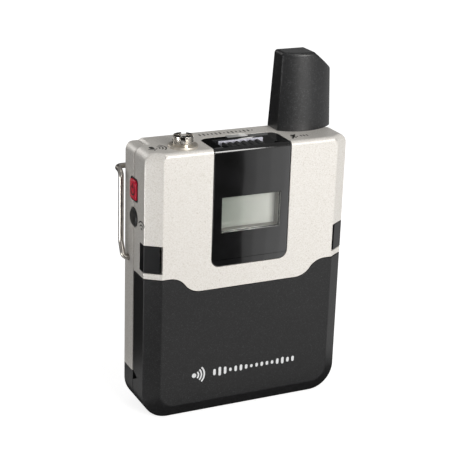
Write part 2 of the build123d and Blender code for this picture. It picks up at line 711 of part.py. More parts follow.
# ---- electronics -----------------------------------------------------------------------------------
def main_board():
    """Main circuit board, upright behind the display."""
    half = HALF_W - WALL - 7.3
    board = block(-half, half, BOARD_Y, BOARD_Y + BOARD_T, DIVIDER_Z + 1.0, BODY_H - 2 * WALL - 2.2)
    board += block(half - 1, HALF_W - WALL - 1.5, BOARD_Y, BOARD_Y + BOARD_T,
                   CATCH_Z + CATCH_H + 2, PAIR_Z + 12)
    for x, z in SCREW_SPOTS:
        board -= rod((x, -FAR, z), (0, 1, 0), BOSS_R + FIT_GAP, 2 * FAR)
    return board


def board_chips():
    """Integrated circuits and passives on the front of the board."""
    low = DIVIDER_Z + 3.8
    chips = [
        block(-24, -16, BOARD_Y - 1.0, BOARD_Y, low + 14, low + 22),
        block(15, 23, BOARD_Y - 1.1, BOARD_Y, low + 22, low + 30),
        block(-8, 2, BOARD_Y - 0.9, BOARD_Y, low, low + 7),
        block(6, 12, BOARD_Y - 1.6, BOARD_Y, low, low + 5),
    ]
    for index in range(6):
        z = low + 0.5 + 1.7 * index
        chips.append(block(-21, -19.4, BOARD_Y - 0.6, BOARD_Y, z, z + 0.8))
    return Compound(children=[chip.solid() for chip in chips])


def rf_shield():
    """Folded metal can over the radio circuit, on the back of the board."""
    y0 = BOARD_Y + BOARD_T
    y1 = BACK_Y - WALL - 1.0
    half = SHIELD_W / 2
    low = WINDOW_Z - SHIELD_H / 2
    high = WINDOW_Z + SHIELD_H / 2
    can = block(-half, half, y0, y1, low, high)
    return can - block(-half + SHEET_T, half - SHEET_T, y0 - 1, y1 - SHEET_T, low + SHEET_T, high - SHEET_T)


def housing_screws():
    """Four countersunk screws from the back."""
    screws = []
    for x, z in SCREW_SPOTS:
        screw = rod((x, BACK_Y - 1.2, z), (0, 1, 0), HEAD_R, 1.0)
        screw += rod((x, PART_Y - 5, z), (0, 1, 0), SCREW_R * 0.8, BACK_Y - PART_Y + 4)
        screw -= block(x - 1.1, x + 1.1, BACK_Y - 0.7, BACK_Y, z - 0.2, z + 0.2)
        screw -= block(x - 0.2, x + 0.2, BACK_Y - 0.7, BACK_Y, z - 1.1, z + 1.1)
        screws.append(screw.solid())
    return Compound(children=screws)


# ---- belt clip -------------------------------------------------------------------------------------
def wire(points, radii):
    """Round spring wire along straight runs and tangent bends."""
    path = FilletPolyline(*points, radius=radii)
    start = Plane(origin=path @ 0, z_dir=path % 0)
    return sweep(start * Circle(WIRE_D / 2), path=path)


def clip_frame():
    """Feet, arms and the outer ends of the top bar, left and right."""
    x_arm = HALF_W + CLIP_OUT
    y_foot = BACK_Y - CLIP_Y
    y_arm = BACK_Y - ARM_IN
    y_bar = BACK_Y + BAR_OUT
    points = [
        (HALF_W - WALL - 0.6, y_foot, CLIP_Z),
        (x_arm, y_foot, CLIP_Z),
        (x_arm, y_arm, CLIP_Z + 5.0),
        (x_arm, y_arm, CLIP_TOP),
        (x_arm, y_bar, CLIP_TOP),
        (TONGUE_CUT, y_bar, CLIP_TOP),
    ]
    half = wire(points, [1.7, BEND_R, BEND_R, BEND_R])
    return Compound(children=[half.solid(), mirror(half, about=Plane.YZ).solid()])


def clip_tongue():
    """Sprung tongue of the same wire, hanging from the top bar."""
    y_bar = BACK_Y + BAR_OUT
    y_near = BACK_Y + TONGUE_NEAR
    x_cut = TONGUE_CUT - 0.05
    right = [
        (x_cut, y_bar, CLIP_TOP),
        (TONGUE_HALF, y_bar, CLIP_TOP),
        (TONGUE_HALF, y_near, TONGUE_Z),
        (TONGUE_HALF, BACK_Y + TONGUE_FLARE, TONGUE_TIP_Z),
    ]
    left = [(-x, y, z) for x, y, z in reversed(right)]
    return wire(right + left, [BEND_R, 6.0, BEND_R, BEND_R, 6.0, BEND_R])


# ---- pack ------------------------------------------------------------------------------------------
def pack_cover():
    """Black front cover of the pack, with lugs for the catches."""
    edge_y = PART_Y - PACK_GAP / 2
    below = half_space_y(-FAR, edge_y) - seam_region(-PACK_GAP)
    cover = (OUTER - INNER) & below
    cover -= shadow_groove(edge_y - GROOVE / 2, edge_y)
    lug = block(HALF_W - WALL - LUG_IN, HALF_W - WALL + 0.5, -CATCH_BACK - 0.4 - LUG_LEN,
                -CATCH_BACK - 0.4, SEAM_Z - 4.2, SEAM_Z - 1.8)
    cover += both_sides(lug)
    notch = Polygon((PART_Y + 0.1, BASE_H - 3.0), (PART_Y + 0.1, BASE_H + 0.8),
                    (PART_Y - 3.9, BASE_H - 1.0), align=None)
    cover -= both_sides(through_x(notch, HALF_W - 0.9, HALF_W + 1))
    return cover


def pack_tray():
    """Tray behind the cover that carries the cells and their contacts."""
    outside = block(-TRAY_HALF, TRAY_HALF, -FAR, TRAY_BACK, TRAY_FLOOR, TRAY_TOP) & INNER
    bulk = outside - block(-TRAY_HALF + TRAY_WALL, TRAY_HALF - TRAY_WALL, -FAR, TRAY_BACK - TRAY_WALL,
                           TRAY_FLOOR + TRAY_WALL, TRAY_TOP - 1.0)
    rib_z = (CELL_LOW_Z + CELL_HIGH_Z) / 2
    in_back = TRAY_BACK - TRAY_WALL / 2
    in_side = TRAY_HALF - TRAY_WALL / 2
    rib = block(-CELL_L / 2, CELL_L / 2, TRAY_BACK - RIB_OUT, in_back,
                rib_z - RIB_T / 2, rib_z + RIB_T / 2)
    shelf_z = CELL_HIGH_Z + CELL_D / 2 + CELL_GAP
    shelf = block(-in_side, in_side, CELL_Y - CELL_D / 4, in_back, shelf_z, shelf_z + TRAY_WALL)
    x_end = CELL_L / 2 + END_ROOM
    ends = block(x_end, in_side, CELL_Y - CELL_D / 3, in_back,
                 TRAY_FLOOR + TRAY_WALL / 2, shelf_z + TRAY_WALL / 2)
    ends -= block(x_end + END_WALL, TRAY_HALF - TRAY_WALL, -FAR, TRAY_BACK - TRAY_WALL,
                  TRAY_FLOOR + TRAY_WALL, shelf_z)
    inside = (INNER & half_space_y(-FAR, PART_Y - PACK_GAP)) + body_form(WALL + PACK_GAP + 0.1)
    tray = (bulk + rib + shelf + both_sides(ends)) & inside
    for x in contact_spots():
        tray -= contact_pad(x, 0.1, 1.0)
    return tray


def cell(z, flip):
    """AA-size cell lying across the pack, its button end to the left or the right."""
    can_l = CELL_L - NUB_L
    x0 = -CELL_L / 2
    can = rod((x0, CELL_Y, z), (1, 0, 0), CELL_D / 2, can_l)
    can = fillet(can.edges(), 0.6)
    can += rod((x0 + can_l - 0.2, CELL_Y, z), (1, 0, 0), NUB_R, NUB_L + 0.2)
    return mirror(can, about=Plane.YZ) if flip else can


def cell_contacts():
    """Four contact plates at the ends of the cells, each with a bent finger."""
    plates = []
    for z in (CELL_LOW_Z, CELL_HIGH_Z):
        for side in (-1, 1):
            x1 = CELL_L / 2 + END_ROOM
            plate = block(x1 - 0.4, x1, CELL_Y - 4.5, CELL_Y + 4.5, z - 5.5, z + 5.5)
            plate += block(x1 - 2.3, x1 - 0.3, CELL_Y - 1.2, CELL_Y + 1.2, z + 1.2, z + 1.6)
            plate += block(x1 - 2.3, x1 - 1.9, CELL_Y - 1.2, CELL_Y + 1.2, z - 1.6, z + 1.6)
            plates.append((plate if side > 0 else mirror(plate, about=Plane.YZ)).solid())
    return Compound(children=plates)


def pack_board():
    """Charging board above the cells."""
    z = CELL_HIGH_Z + CELL_D / 2 + CELL_GAP + 0.8
    board = block(-26, 26, CELL_Y - 3.5, TRAY_BACK - TRAY_WALL - 0.3, z, z + 1.0)
    return board + block(-9, -3, CELL_Y - 2, CELL_Y + 2, z + 0.9, z + 2.0)


def pack_contacts():
    """Three plated pads in the top of the tray."""
    return Compound(children=[contact_pad(x, 0.0, 0.0).solid() for x in contact_spots()])


def contact_pad(x, grow, above):
    """One pad, or the pocket for it."""
    half = PAD_W / 2 + grow
    deep = PAD_L / 2 + grow
    return block(x - half, x + half, CELL_Y - deep, CELL_Y + deep, TRAY_TOP - PAD_T, TRAY_TOP + above)


# ---- build -----------------------------------------------------------------------------------------
NODES = {
    "front_shell": front_shell(),
    "rear_shell": rear_shell(),
    "base_cap": base_cap(),
    "charge_contacts": charge_pads(0.0),
    "bay_divider": bay_divider(),
    "bay_contacts": bay_contacts(),
    "display_panel": display_panel(),
    "panel_window": panel_window(),
    "lcd_frame": lcd_frame(),
    "lcd_glass": lcd_glass(),
    "status_light": status_light(),
    "mute_stripe": mute_stripe(),
    "mute_switch": mute_switch(),
    "button_bezel": button_bezel(),
    "power_switch": side_switch(POWER_Z),
    "pair_switch": side_switch(PAIR_Z),
    "jack_barrel": jack_barrel(),
    "jack_nut": jack_nut(),
    "jack_body": jack_body(),
    "antenna_cap": antenna_cap(),
    "antenna_board": antenna_board(),
    "main_board": main_board(),
    "board_chips": board_chips(),
    "rf_shield": rf_shield(),
    "housing_screws": housing_screws(),
    "clip_frame": clip_frame(),
    "clip_tongue": clip_tongue(),
    "mute_slider": mute_slider(),
    "power_button": power_button(),
    "pair_button": pair_button(),
    "catch_left": catch(-1),
    "catch_right": catch(1),
    "catch_spring_left": catch_spring(-1),
    "catch_spring_right": catch_spring(1),
    "pack_cover": pack_cover(),
    "pack_tray": pack_tray(),
    "cell_lower": cell(CELL_LOW_Z, False),
    "cell_upper": cell(CELL_HIGH_Z, True),
    "cell_contacts": cell_contacts(),
    "pack_board": pack_board(),
    "pack_contacts": pack_contacts(),
}

for node_name, node_shape in NODES.items():
    save(node_shape, node_name)
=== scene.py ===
from math import ceil, cos, pi, radians, sin

import bmesh
import bpy
from mathutils import Matrix, Vector


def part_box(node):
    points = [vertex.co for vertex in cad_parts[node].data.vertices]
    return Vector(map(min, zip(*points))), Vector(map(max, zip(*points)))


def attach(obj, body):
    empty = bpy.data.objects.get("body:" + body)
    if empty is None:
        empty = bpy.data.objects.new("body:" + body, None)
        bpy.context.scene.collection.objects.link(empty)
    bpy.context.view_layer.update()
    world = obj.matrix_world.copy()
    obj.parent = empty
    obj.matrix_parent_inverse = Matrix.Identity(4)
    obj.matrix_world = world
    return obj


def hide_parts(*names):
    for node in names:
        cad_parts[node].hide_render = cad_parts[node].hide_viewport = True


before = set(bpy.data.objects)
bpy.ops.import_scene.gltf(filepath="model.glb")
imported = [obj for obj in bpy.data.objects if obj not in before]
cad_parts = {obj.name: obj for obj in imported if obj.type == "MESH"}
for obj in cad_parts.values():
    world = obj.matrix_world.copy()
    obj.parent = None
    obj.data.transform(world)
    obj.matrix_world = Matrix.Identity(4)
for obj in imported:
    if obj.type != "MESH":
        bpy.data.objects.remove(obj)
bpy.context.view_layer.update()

# ---- table, light and camera ---------------------------------------------------------------------
# White table under a large soft light in front and weaker ones above and behind. Dark and bright
# cards beside the view give the black and plated parts something to mirror. The camera looks
# down at the transmitter from its front left.
MM = 0.001
HEART = Vector((0, 0, 0.05))
WARM_WHITE = (1.0, 0.985, 0.965)

bpy.context.scene.view_settings.view_transform = "Standard"
world = bpy.data.worlds.new("studio")
world.use_nodes = True
sky = world.node_tree.nodes["Background"]
sky.inputs["Color"].default_value = (1.0, 1.0, 1.0, 1.0)
sky.inputs["Strength"].default_value = 0.34
bpy.context.scene.world = world


def soft_light(name, direction, size, power):
    """Square area light a metre from the transmitter, aimed at it."""
    lamp = bpy.data.lights.new(name, "AREA")
    lamp.shape = "SQUARE"
    lamp.size = size
    lamp.energy = power
    lamp.color = WARM_WHITE
    holder = bpy.data.objects.new(name, lamp)
    holder.location = HEART + Vector(direction).normalized()
    holder.rotation_mode = "QUATERNION"
    holder.rotation_quaternion = (-Vector(direction)).to_track_quat("-Z", "Y")
    bpy.context.collection.objects.link(holder)


soft_light("key", (0.22, -0.92, 0.30), 0.45, 8.6)
soft_light("overhead", (0.10, -0.40, 0.90), 0.30, 1.5)
soft_light("behind", (-0.35, 0.85, 0.35), 0.40, 3.0)


RAYS = ("camera", "diffuse", "glossy", "transmission", "shadow")


def studio_sheet(name, corners, colour, glow, seen_by=("glossy",)):
    """Flat sheet of the studio, in view of the named kinds of ray only."""
    mesh = bpy.data.meshes.new(name)
    mesh.from_pydata(corners, [], [(0, 1, 2, 3)])
    paper = bpy.data.materials.new(name)
    paper.use_nodes = True
    shader = paper.node_tree.nodes["Principled BSDF"]
    shader.inputs["Base Color"].default_value = (colour, colour, colour, 1.0)
    shader.inputs["Roughness"].default_value = 0.9
    shader.inputs["Specular IOR Level"].default_value = 0.0
    shader.inputs["Emission Color"].default_value = (1.0, 1.0, 1.0, 1.0)
    shader.inputs["Emission Strength"].default_value = glow
    mesh.materials.append(paper)
    sheet = bpy.data.objects.new(name, mesh)
    bpy.context.collection.objects.link(sheet)
    for ray in RAYS:
        setattr(sheet, f"visible_{ray}", ray in seen_by)


def on_table(corners, height=-0.9 * MM):
    """Corners of a sheet that lies on the table, given as pairs."""
    return [(x, y, height) for x, y in corners]


REACH = 40.0
WIDE = [(-REACH, -REACH), (REACH, -REACH), (REACH, REACH), (-REACH, REACH)]
TABLE_GLOW, BOUNCE_GLOW, CARD_GLOW = 0.80, 0.25, 9.0
studio_sheet("table_top", on_table(WIDE, -0.02 * MM), 0.45, TABLE_GLOW, ("camera",))
studio_sheet("table_bounce", on_table(WIDE, -1.0 * MM), 0.50, BOUNCE_GLOW,
             ("diffuse", "glossy", "transmission"))

NEAR_Y, FAR_Y = -0.116, -0.43
NEAR_X, FAR_X = 0.0495, 0.202
BACK_CARD_Y, CARD_TOP, CARD_FOOT = 0.6, 0.6, -0.01
DARK_CARDS = {
    "card_front_left": on_table([(-0.5, -0.6), (FAR_X, FAR_Y), (NEAR_X, NEAR_Y), (-0.5, NEAR_Y)]),
    "card_left": on_table([(-0.15, NEAR_Y), (-0.045, NEAR_Y), (-0.045, -0.03), (-0.15, -0.03)]),
    "card_behind": on_table([(-0.5, 0.035), (0.1, 0.035), (0.3, BACK_CARD_Y), (-0.5, BACK_CARD_Y)]),
    "card_standing": [(-0.9, BACK_CARD_Y, CARD_FOOT), (0.3, BACK_CARD_Y, CARD_FOOT),
                      (0.3, BACK_CARD_Y, CARD_TOP), (-0.9, BACK_CARD_Y, CARD_TOP)],
    "card_under": on_table([(-0.04, -0.022), (0.06, -0.022), (0.06, 0.03), (-0.04, 0.03)]),
}
BLACK = 0.01
for card, corners in DARK_CARDS.items():
    studio_sheet(card, corners, BLACK, 0.0)
studio_sheet("card_glow", on_table([(-0.42, NEAR_Y), (-0.17, NEAR_Y), (-0.17, 0.03), (-0.42, 0.03)]),
             0.0, CARD_GLOW)

BRIGHT_STARTS = (0.0, 0.0045, 0.010, 0.016, 0.024, 0.05)
BRIGHT_GLOWS = (0.75, 1.1, 1.4, 1.7, 1.9)
SPREAD = 2.4
for step, glow in enumerate(BRIGHT_GLOWS):
    start, end = BRIGHT_STARTS[step:step + 2]
    studio_sheet(f"card_bright_{step}", on_table([
        (NEAR_X + start, NEAR_Y), (FAR_X + SPREAD * start, FAR_Y),
        (FAR_X + SPREAD * end, FAR_Y), (NEAR_X + end, NEAR_Y)]), 0.0, glow)

YAW, PITCH, ROLL = radians(25.73), radians(19.89), radians(-1.87)
LENS = 108.3
LOOK_AT = Vector((0, -10.5, 52.3)) * MM
ASIDE, ABOVE, AWAY = 6.30 * MM, -10.82 * MM, 451.97 * MM

forward = Vector((sin(YAW) * cos(PITCH), cos(YAW) * cos(PITCH), -sin(PITCH)))
level_right = Vector((cos(YAW), -sin(YAW), 0))
level_up = level_right.cross(forward)
right = level_right * cos(ROLL) - level_up * sin(ROLL)
up = level_up * cos(ROLL) + level_right * sin(ROLL)
camera_data = bpy.data.cameras.new("camera")
camera_data.lens = LENS
camera_data.sensor_width = 36.0
camera_data.clip_start = 0.01
camera = bpy.data.objects.new("camera", camera_data)
turn = Matrix((right, up, -forward)).transposed().to_4x4()
camera.matrix_world = Matrix.Translation(LOOK_AT - right * ASIDE - up * ABOVE - forward * AWAY) @ turn
bpy.context.collection.objects.link(camera)
bpy.context.scene.camera = camera


# ---- front shell ---------------------------------------------------------------------------------
# Upper half of the housing's front, moulded in one with the raised band that runs over the top to
# the back. It is painted a warm silver with a fine metal flake, and screwed to the rear shell.
class Value:
    """Output of a node; arithmetic on it adds Math nodes."""

    def __init__(self, finish, socket):
        self.finish = finish
        self.socket = socket

    def maths(self, operation, first, second):
        """Math node on two values or numbers."""
        return self.finish.add("ShaderNodeMath", {"operation": operation}, {0: first, 1: second})[0]

    def __add__(self, other):
        return self.maths("ADD", self, other)

    __radd__ = __add__

    def __sub__(self, other):
        return self.maths("SUBTRACT", self, other)

    def __rsub__(self, other):
        return self.maths("SUBTRACT", other, self)

    def __mul__(self, other):
        return self.maths("MULTIPLY", self, other)

    __rmul__ = __mul__


class Finish:
    """One procedural material on a Principled shader, whose fixed sockets are set at once."""

    def __init__(self, name, **fixed):
        self.material = bpy.data.materials.new(name)
        self.material.use_nodes = True
        self.tree = self.material.node_tree
        self.shader = self.tree.nodes["Principled BSDF"]
        for socket, value in fixed.items():
            self.shader.inputs[socket.replace("_", " ")].default_value = value

    def add(self, kind, settings=None, inputs=None):
        """Adds a node, its settings first, and returns its outputs."""
        node = self.tree.nodes.new(kind)
        for key, value in (settings or {}).items():
            if key == "stops":
                while len(node.color_ramp.elements) < len(value):
                    node.color_ramp.elements.new(0.5)
                for element, (place, colour) in zip(node.color_ramp.elements, value):
                    element.position = place
                    element.color = (*colour, 1.0)
            else:
                setattr(node, key, value)
        for key, value in (inputs or {}).items():
            self.feed(node.inputs[key], value)
        return [Value(self, socket) for socket in node.outputs]

    def feed(self, socket, value):
        """Links a value to a socket, or sets a plain number on it."""
        if isinstance(value, Value):
            self.tree.links.new(value.socket, socket)
        else:
            socket.default_value = value

    def drive(self, name, value):
        """Feeds one of the shader's own sockets."""
        self.feed(self.shader.inputs[name], value)

    def place(self):
        """Position on the object, in metres."""
        return self.add("ShaderNodeTexCoord")[3]

    def along(self, axis):
        """Position along X, Y or Z (0, 1, 2), in millimetres."""
        return self.add("ShaderNodeSeparateXYZ", inputs={0: self.place()})[axis] * 1000.0

    def noise(self, size, detail=2.0, roughness=0.5):
        """Noise whose lumps are about the given size."""
        return self.add("ShaderNodeTexNoise", inputs={
            "Vector": self.place(), "Scale": 1.0 / size, "Detail": detail, "Roughness": roughness})[0]

    def grains(self, size):
        """A random brightness for each grain of the given size."""
        cells = self.add("ShaderNodeTexVoronoi", inputs={
            "Vector": self.place(), "Scale": 1.0 / size})[1]
        return self.add("ShaderNodeSeparateColor", inputs={0: cells})[0]

    def steps(self, factor, *stops):
        """Colour ramp over a value."""
        return self.add("ShaderNodeValToRGB", {"stops": stops}, {0: factor})[0]

    def relief(self, height, strength, distance):
        """Fine relief from a height value."""
        self.drive("Normal", self.add("ShaderNodeBump", inputs={
            "Strength": strength, "Distance": distance, "Height": height})[0])


def silver_paint():
    """Warm silver with a fine flake and slightly uneven gloss."""
    paint = Finish("silver_paint", Coat_Roughness=0.25, Coat_Weight=0.15)
    flake = paint.grains(0.20 * MM)
    cloud = paint.noise(0.45 * MM, 3.0, 0.65)
    tone = flake * 0.45 + cloud * 0.55
    paint.drive("Base Color", paint.steps(
        tone, (0.18, (0.44, 0.415, 0.37)), (0.36, (0.61, 0.585, 0.545)), (0.60, (0.66, 0.64, 0.61)),
        (0.85, (0.74, 0.73, 0.70))))
    paint.drive("Metallic", 0.10 + flake * 0.26)
    paint.drive("Roughness", 0.46 - flake * 0.14 + cloud * 0.08)
    paint.relief(flake * 0.5 + cloud, 0.32, 0.03 * MM)
    return paint.material


WELD = 0.002 * MM
FLAT = radians(0.1)
BLUNT = radians(70)


def softened(name, node, body, width, material, sharp=28.0, square=1.0):
    """Piece with a CAD node's shape and rounded edges; the blunt ones in front are the widest."""
    work = bmesh.new()
    work.from_mesh(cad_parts[node].data)
    bmesh.ops.remove_doubles(work, verts=work.verts, dist=WELD)
    bmesh.ops.dissolve_limit(work, angle_limit=FLAT, verts=work.verts, edges=work.edges)
    weight = work.edges.layers.float.new("bevel_weight_edge")
    for edge in work.edges:
        angle = edge.calc_face_angle(0.0)
        blunt = angle < BLUNT and all(vertex.co.y < 0 for vertex in edge.verts)
        if angle > radians(sharp) and edge.is_convex:
            edge[weight] = 1.0 if blunt else square
    mesh = bpy.data.meshes.new(name)
    work.to_mesh(mesh)
    work.free()
    mesh.materials.clear()
    mesh.materials.append(material)
    mesh.shade_smooth()
    piece = bpy.data.objects.new(name, mesh)
    bpy.context.collection.objects.link(piece)
    rounding = piece.modifiers.new("rounding", "BEVEL")
    rounding.width = width
    rounding.segments = 3
    rounding.limit_method = "WEIGHT"
    rounding.use_clamp_overlap = False
    shading = piece.modifiers.new("shading", "WEIGHTED_NORMAL")
    shading.weight = 100
    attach(piece, body)
    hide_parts(node)
    return piece


silver = silver_paint()
EDGE = 0.32 * MM
SQUARE = 0.35
softened("front_housing", "front_shell", "housing", EDGE, silver, square=SQUARE)

# ---- rear shell ----------------------------------------------------------------------------------
# Back tub of the housing in the same silver paint, a little lower at its top corners. Four screws
# hold it to the front shell, and its rim stands off that shell by a fine dark joint.
JOINT = 0.38 * MM
NEAR_RIM = 0.01 * MM
rear_housing = softened("rear_housing", "rear_shell", "housing", EDGE, silver,
                        square=SQUARE)
rim_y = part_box("rear_shell")[0].y
for vertex in rear_housing.data.vertices:
    if vertex.co.y < rim_y + NEAR_RIM:
        vertex.co.y += JOINT


# ---- base cap and pack cover ---------------------------------------------------------------------
# The cap closes the foot of the rear shell, and the cover is the front of the pull-off pack. Both
# are moulded and have the same charcoal paint with a fine glint.
def charcoal_paint():
    """Dark charcoal with a fine glint."""
    paint = Finish("charcoal_paint", Specular_IOR_Level=0.32)
    grain = paint.grains(0.16 * MM)
    cloud = paint.noise(0.4 * MM, 2.0)
    paint.drive("Base Color", paint.steps(
        grain, (0.0, (0.009, 0.009, 0.0095)), (0.86, (0.0125, 0.0125, 0.013)),
        (1.0, (0.036, 0.037, 0.039))))
    paint.drive("Roughness", 0.36 + cloud * 0.12)
    paint.relief(grain * 0.5 + cloud, 0.18, 0.02 * MM)
    return paint.material


charcoal = charcoal_paint()
softened("foot_cap", "base_cap", "housing", EDGE, charcoal, square=SQUARE)
softened("front_cover", "pack_cover", "pack", EDGE, charcoal, square=SQUARE)


# ---- marks on the cover --------------------------------------------------------------------------
# Pale grey pad printing low on the cover: a plain radio-wave sign and a row of level bars. The
# print is a thin film of ink on the paint.
INK = 0.02 * MM
INK_FILM = 1.8 * INK


def ink_finish(name, colour):
    """Matt ink whose tone varies a little."""
    ink = Finish(name, Roughness=0.6, Specular_IOR_Level=0.3)
    spots = ink.noise(0.4 * MM, 2.0)
    dark = tuple(part * 0.85 for part in colour)
    ink.drive("Base Color", ink.steps(spots, (0.35, dark), (0.65, colour)))
    return ink.material


def arc_band(centre, radius, width, start, end):
    """Outline of a curved band, angles in degrees."""
    count = max(6, ceil(abs(end - start) / 9))
    angles = [radians(start + (end - start) * index / count) for index in range(count + 1)]
    far, near = radius + width / 2, radius - width / 2
    outside = [(centre[0] + far * cos(angle), centre[1] + far * sin(angle)) for angle in angles]
    inside = [(centre[0] + near * cos(angle), centre[1] + near * sin(angle)) for angle in angles]
    return outside + inside[::-1]


def pill(x, low, high, width):
    """Outline of an upright bar with round ends."""
    half = width / 2
    turn = [pi * step / 8 for step in range(9)]
    head = [(x + half * cos(angle), high - half + half * sin(angle)) for angle in turn]
    return head + [(x - half * cos(angle), low + half - half * sin(angle)) for angle in turn]


def printed(name, outlines, origin, across, upward, body, material):
    """Thin film of ink in outlines given in millimetres on a plane through an origin."""
    across, upward = Vector(across), Vector(upward)
    outward = across.cross(upward)
    work = bmesh.new()
    for outline in outlines:
        low = [work.verts.new(origin + (across * u + upward * v) * MM - outward * INK)
               for u, v in outline]
        high = [work.verts.new(vertex.co + outward * INK_FILM) for vertex in low]
        work.faces.new(high)
        work.faces.new(low[::-1])
        for index in range(len(low)):
            following = (index + 1) % len(low)
            work.faces.new((low[index], low[following], high[following], high[index]))
    bmesh.ops.recalc_face_normals(work, faces=work.faces)
    mesh = bpy.data.meshes.new(name)
    work.to_mesh(mesh)
    work.free()
    mesh.materials.append(material)
    piece = bpy.data.objects.new(name, mesh)
    bpy.context.collection.objects.link(piece)
    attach(piece, body)


pale_ink = ink_finish("pale_ink", (0.62, 0.63, 0.64))
front_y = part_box("pack_cover")[0].y
WAVE_X, MARK_Z = -18.8, 15.0
DOT_R = 0.8
cover_marks = [pill(WAVE_X, MARK_Z - DOT_R, MARK_Z + DOT_R, 2 * DOT_R)]
for ring in range(3):
    cover_marks.append(arc_band((WAVE_X, MARK_Z), 1.6 + 1.05 * ring, 0.55, -44, 44))
BARS, BARS_X, BAR_PITCH, BAR_W = 16, -11.4, 1.95, 0.95
for index in range(BARS):
    half = 0.55 + 1.1 * abs(sin(0.55 + index * 0.83)) * (0.6 + 0.4 * cos(index * 0.37))
    cover_marks.append(pill(BARS_X + index * BAR_PITCH, MARK_Z - half, MARK_Z + half, BAR_W))
printed("cover_marks", cover_marks, Vector((0, front_y, 0)), (1, 0, 0), (0, 0, 1), "pack", pale_ink)


# ---- display panel -------------------------------------------------------------------------------
# Polished black moulding that wraps over the top edge, with a clear window in front of a
# grey-green display in a moulded frame. It snaps into the front shell.
def gloss_black():
    """Polished black with faint wipe marks in the gloss."""
    gloss = Finish("gloss_black", Coat_Weight=0.3, Coat_Roughness=0.02)
    wipe = gloss.noise(6.0 * MM, 3.0, 0.6)
    dust = gloss.noise(0.15 * MM, 1.0)
    gloss.drive("Base Color", gloss.steps(
        wipe, (0.3, (0.004, 0.004, 0.004)), (0.7, (0.007, 0.007, 0.0075))))
    gloss.drive("Roughness", 0.045 + wipe * 0.03 + dust * 0.012)
    return gloss.material


PANEL_EDGE = 0.2 * MM
softened("panel_front", "display_panel", "housing", PANEL_EDGE, gloss_black())


def clear_plastic():
    """Clear plastic: see-through, with the reflection of its surface."""
    clear = Finish("clear_plastic", Roughness=0.03, Base_Color=(0.5, 0.5, 0.5, 1))
    passing = clear.add("ShaderNodeBsdfTransparent", inputs={"Color": (0.93, 0.935, 0.925, 1)})[0]
    shine = clear.add("ShaderNodeBsdfGlossy", inputs={"Roughness": 0.03})[0]
    mirror = clear.add("ShaderNodeFresnel", inputs={"IOR": 1.45})[0]
    smear = clear.noise(5.0 * MM, 2.0)
    blend = clear.add("ShaderNodeMixShader", inputs={
        0: mirror * (0.85 + smear * 0.3), 1: passing, 2: shine})[0]
    clear.feed(clear.tree.nodes["Material Output"].inputs["Surface"], blend)
    return clear.material


def dress(node, material):
    """Gives its finish to a CAD node that stays in view."""
    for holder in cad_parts[node].material_slots:
        holder.material = material


dress("panel_window", clear_plastic())


def lcd_finish():
    """Unlit reflective display: grey-green, darker and greener to the left, with painted reflection
    making it lighter towards the right.
    """
    lcd = Finish("lcd", Roughness=0.08, Coat_Weight=0.4, Coat_Roughness=0.03)
    # Painted reflection: the colour lightens towards the right, standing in for the bright table
    # mirrored there.
    painted_light_lean = lcd.along(0) * 0.045 + 0.5 + lcd.noise(7.0 * MM, 1.0) * 0.25 - 0.12
    lcd.drive("Base Color", lcd.steps(
        painted_light_lean, (0.0, (0.30, 0.33, 0.30)), (0.35, (0.45, 0.47, 0.44)), (1.0, (0.74, 0.745, 0.715))))
    return lcd.material


dress("lcd_glass", lcd_finish())


def moulded(name, colour, rough=0.55, size=0.3 * MM, bump=0.2, shine=0.4):
    """Plain moulded plastic with a fine spark-eroded grain."""
    plastic = Finish(name, Specular_IOR_Level=shine)
    grain = plastic.noise(size, 3.0, 0.6)
    dark = tuple(part * 0.8 for part in colour)
    plastic.drive("Base Color", plastic.steps(grain, (0.3, dark), (0.7, colour)))
    plastic.drive("Roughness", rough - 0.06 + grain * 0.12)
    plastic.relief(grain, bump, 0.02 * MM)
    return plastic.material


dress("lcd_frame", moulded("lcd_surround", (0.36, 0.345, 0.33)))


def frosted_pipe():
    """Frosted clear bar with painted light that makes it brighter towards the right end."""
    pipe = Finish("frosted_pipe", Roughness=0.35)
    # Painted light: the colour lightens towards the right end of the bar.
    painted_light_lean = pipe.along(0) * 0.14 + 0.5 + pipe.noise(0.8 * MM) * 0.2 - 0.1
    pipe.drive("Base Color", pipe.steps(
        painted_light_lean, (0.0, (0.30, 0.30, 0.30)), (0.55, (0.42, 0.42, 0.41)), (0.7, (0.80, 0.80, 0.79))))
    return pipe.material


PIPE_EDGE = 0.1 * MM
softened("light_pipe", "status_light", "housing", PIPE_EDGE, frosted_pipe())

# ---- mute slide ----------------------------------------------------------------------------------
# Scalloped black thumb piece that slides across in the recess on top. Behind it, a pale lavender bar
# along the recess's rear edge is painted reflection: it stands in for the light mirrored there. Both
# are moulded.
THUMB_EDGE, REFLECTION_BAR_EDGE = 0.12 * MM, 0.1 * MM
satin_black = moulded("satin_black", (0.011, 0.0112, 0.012), 0.30, 0.25 * MM, 0.15, 0.3)
# The pale lavender colour of the bar is painted reflection of the light along the recess's rear edge.
painted_reflection_bar = moulded("painted_reflection_bar", (0.66, 0.66, 0.75), 0.3)
softened("mute_thumb", "mute_slider", "mute_slider", THUMB_EDGE, satin_black)
softened("mute_painted_reflection", "mute_stripe", "housing", REFLECTION_BAR_EDGE, painted_reflection_bar)


# ---- jack ----------------------------------------------------------------------------------------
# Nickel-plated threaded barrel with four key slots, on a satin ring nut. The thread takes the
# locking sleeve of the plug; it is a fine ridge that winds up the barrel.
def plated(name, colour, rough=0.16):
    """Bright plating with fine turning marks and a few dull spots."""
    metal = Finish(name, Metallic=1.0)
    marks = metal.noise(0.25 * MM, 3.0, 0.7)
    spots = metal.noise(1.6 * MM, 2.0)
    dull = tuple(part * 0.8 for part in colour)
    metal.drive("Base Color", metal.steps(spots, (0.35, dull), (0.6, colour)))
    metal.drive("Roughness", rough + marks * 0.06 + spots * 0.04)
    metal.relief(marks, 0.05, 0.005 * MM)
    return metal.material


